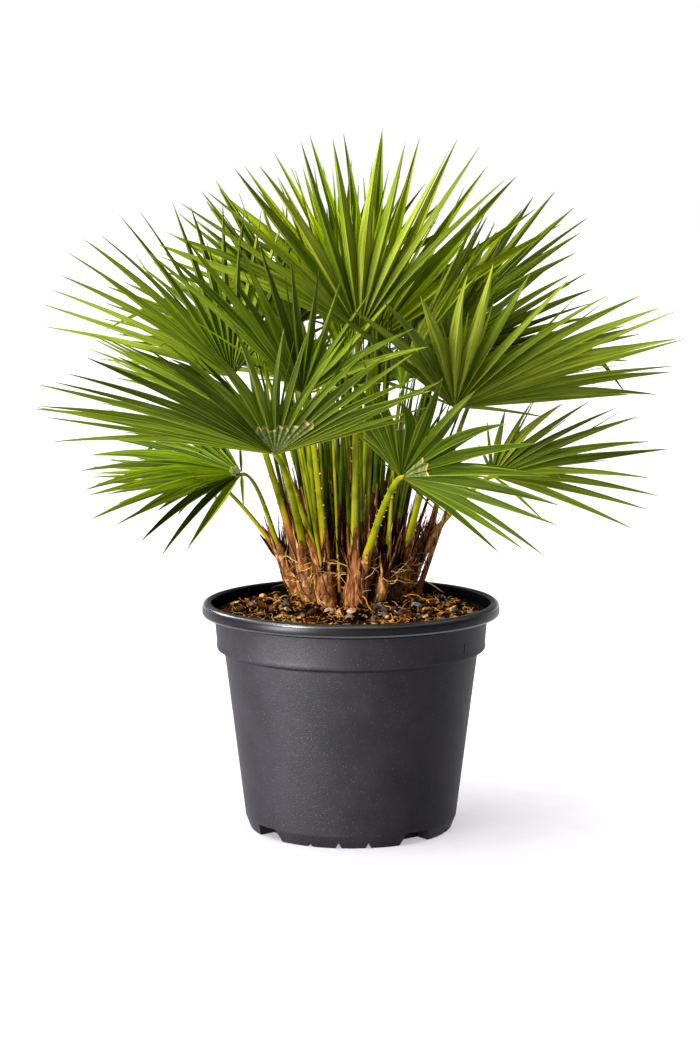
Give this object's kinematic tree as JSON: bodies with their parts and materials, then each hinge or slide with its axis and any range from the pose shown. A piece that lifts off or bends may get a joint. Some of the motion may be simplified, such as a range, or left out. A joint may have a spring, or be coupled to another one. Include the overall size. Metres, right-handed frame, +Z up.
{
  "type": "potted fan palm",
  "caption": "Compact clumping fan palm with stiff, deeply cut fan blades on thin stalks, grown from short leaf bases in a round nursery pot.",
  "frame": {"origin": "middle of the pot's flat underside", "axes": "+Z up, the side seen in the picture faces -Y, +X to its right"},
  "size_m": [0.6405, 0.7379, 0.7021],
  "materials": {
    "pot": "matt black moulded plastic with a soft sheen on the rim",
    "soil": "loose potting mix of bark chips and fibre",
    "stem": "brown, papery leaf bases with fibre",
    "stalk": "smooth green leaf stalk, yellow at the foot",
    "blade": "semi-gloss pleated leaf, lighter ribs",
    "dry_stalk": "dry brown stalk"
  },
  "bodies": {
    "root": {"blade_back_left": "blade", "blade_back_middle": "blade", "blade_back_right": "blade", "blade_front_left": "blade", "blade_front_right": "blade", "blade_inner_back": "blade", "blade_inner_left": "blade", "blade_inner_right": "blade", "blade_left": "blade", "blade_low_left": "blade", "blade_low_left_back": "blade", "blade_low_right": "blade", "blade_middle_left": "blade", "blade_right": "blade", "blade_side_right": "blade", "blade_spear": "blade", "blade_top_back": "blade", "blade_top_front": "blade", "blade_upper_back": "blade", "blade_upper_back_left": "blade", "blade_upper_left": "blade", "blade_upper_right": "blade", "dry_stalk": "dry_stalk", "pot": "pot", "soil": "soil", "stalk_back_left": "stalk", "stalk_back_middle": "stalk", "stalk_back_right": "stalk", "stalk_front_left": "stalk", "stalk_front_right": "stalk", "stalk_inner_back": "stalk", "stalk_inner_left": "stalk", "stalk_inner_right": "stalk", "stalk_left": "stalk", "stalk_low_left": "stalk", "stalk_low_left_back": "stalk", "stalk_low_right": "stalk", "stalk_middle_left": "stalk", "stalk_right": "stalk", "stalk_side_right": "stalk", "stalk_spear": "stalk", "stalk_top_back": "stalk", "stalk_top_front": "stalk", "stalk_upper_back": "stalk", "stalk_upper_back_left": "stalk", "stalk_upper_left": "stalk", "stalk_upper_right": "stalk", "stem_back_left": "stem", "stem_back_middle": "stem", "stem_back_right": "stem", "stem_front_fourth": "stem", "stem_front_left": "stem", "stem_front_middle": "stem", "stem_front_right": "stem", "stem_front_second": "stem", "stem_inner_front": "stem", "stem_inner_left": "stem", "stem_inner_right": "stem", "stem_left": "stem", "stem_right": "stem"}
  },
  "joints": []
}
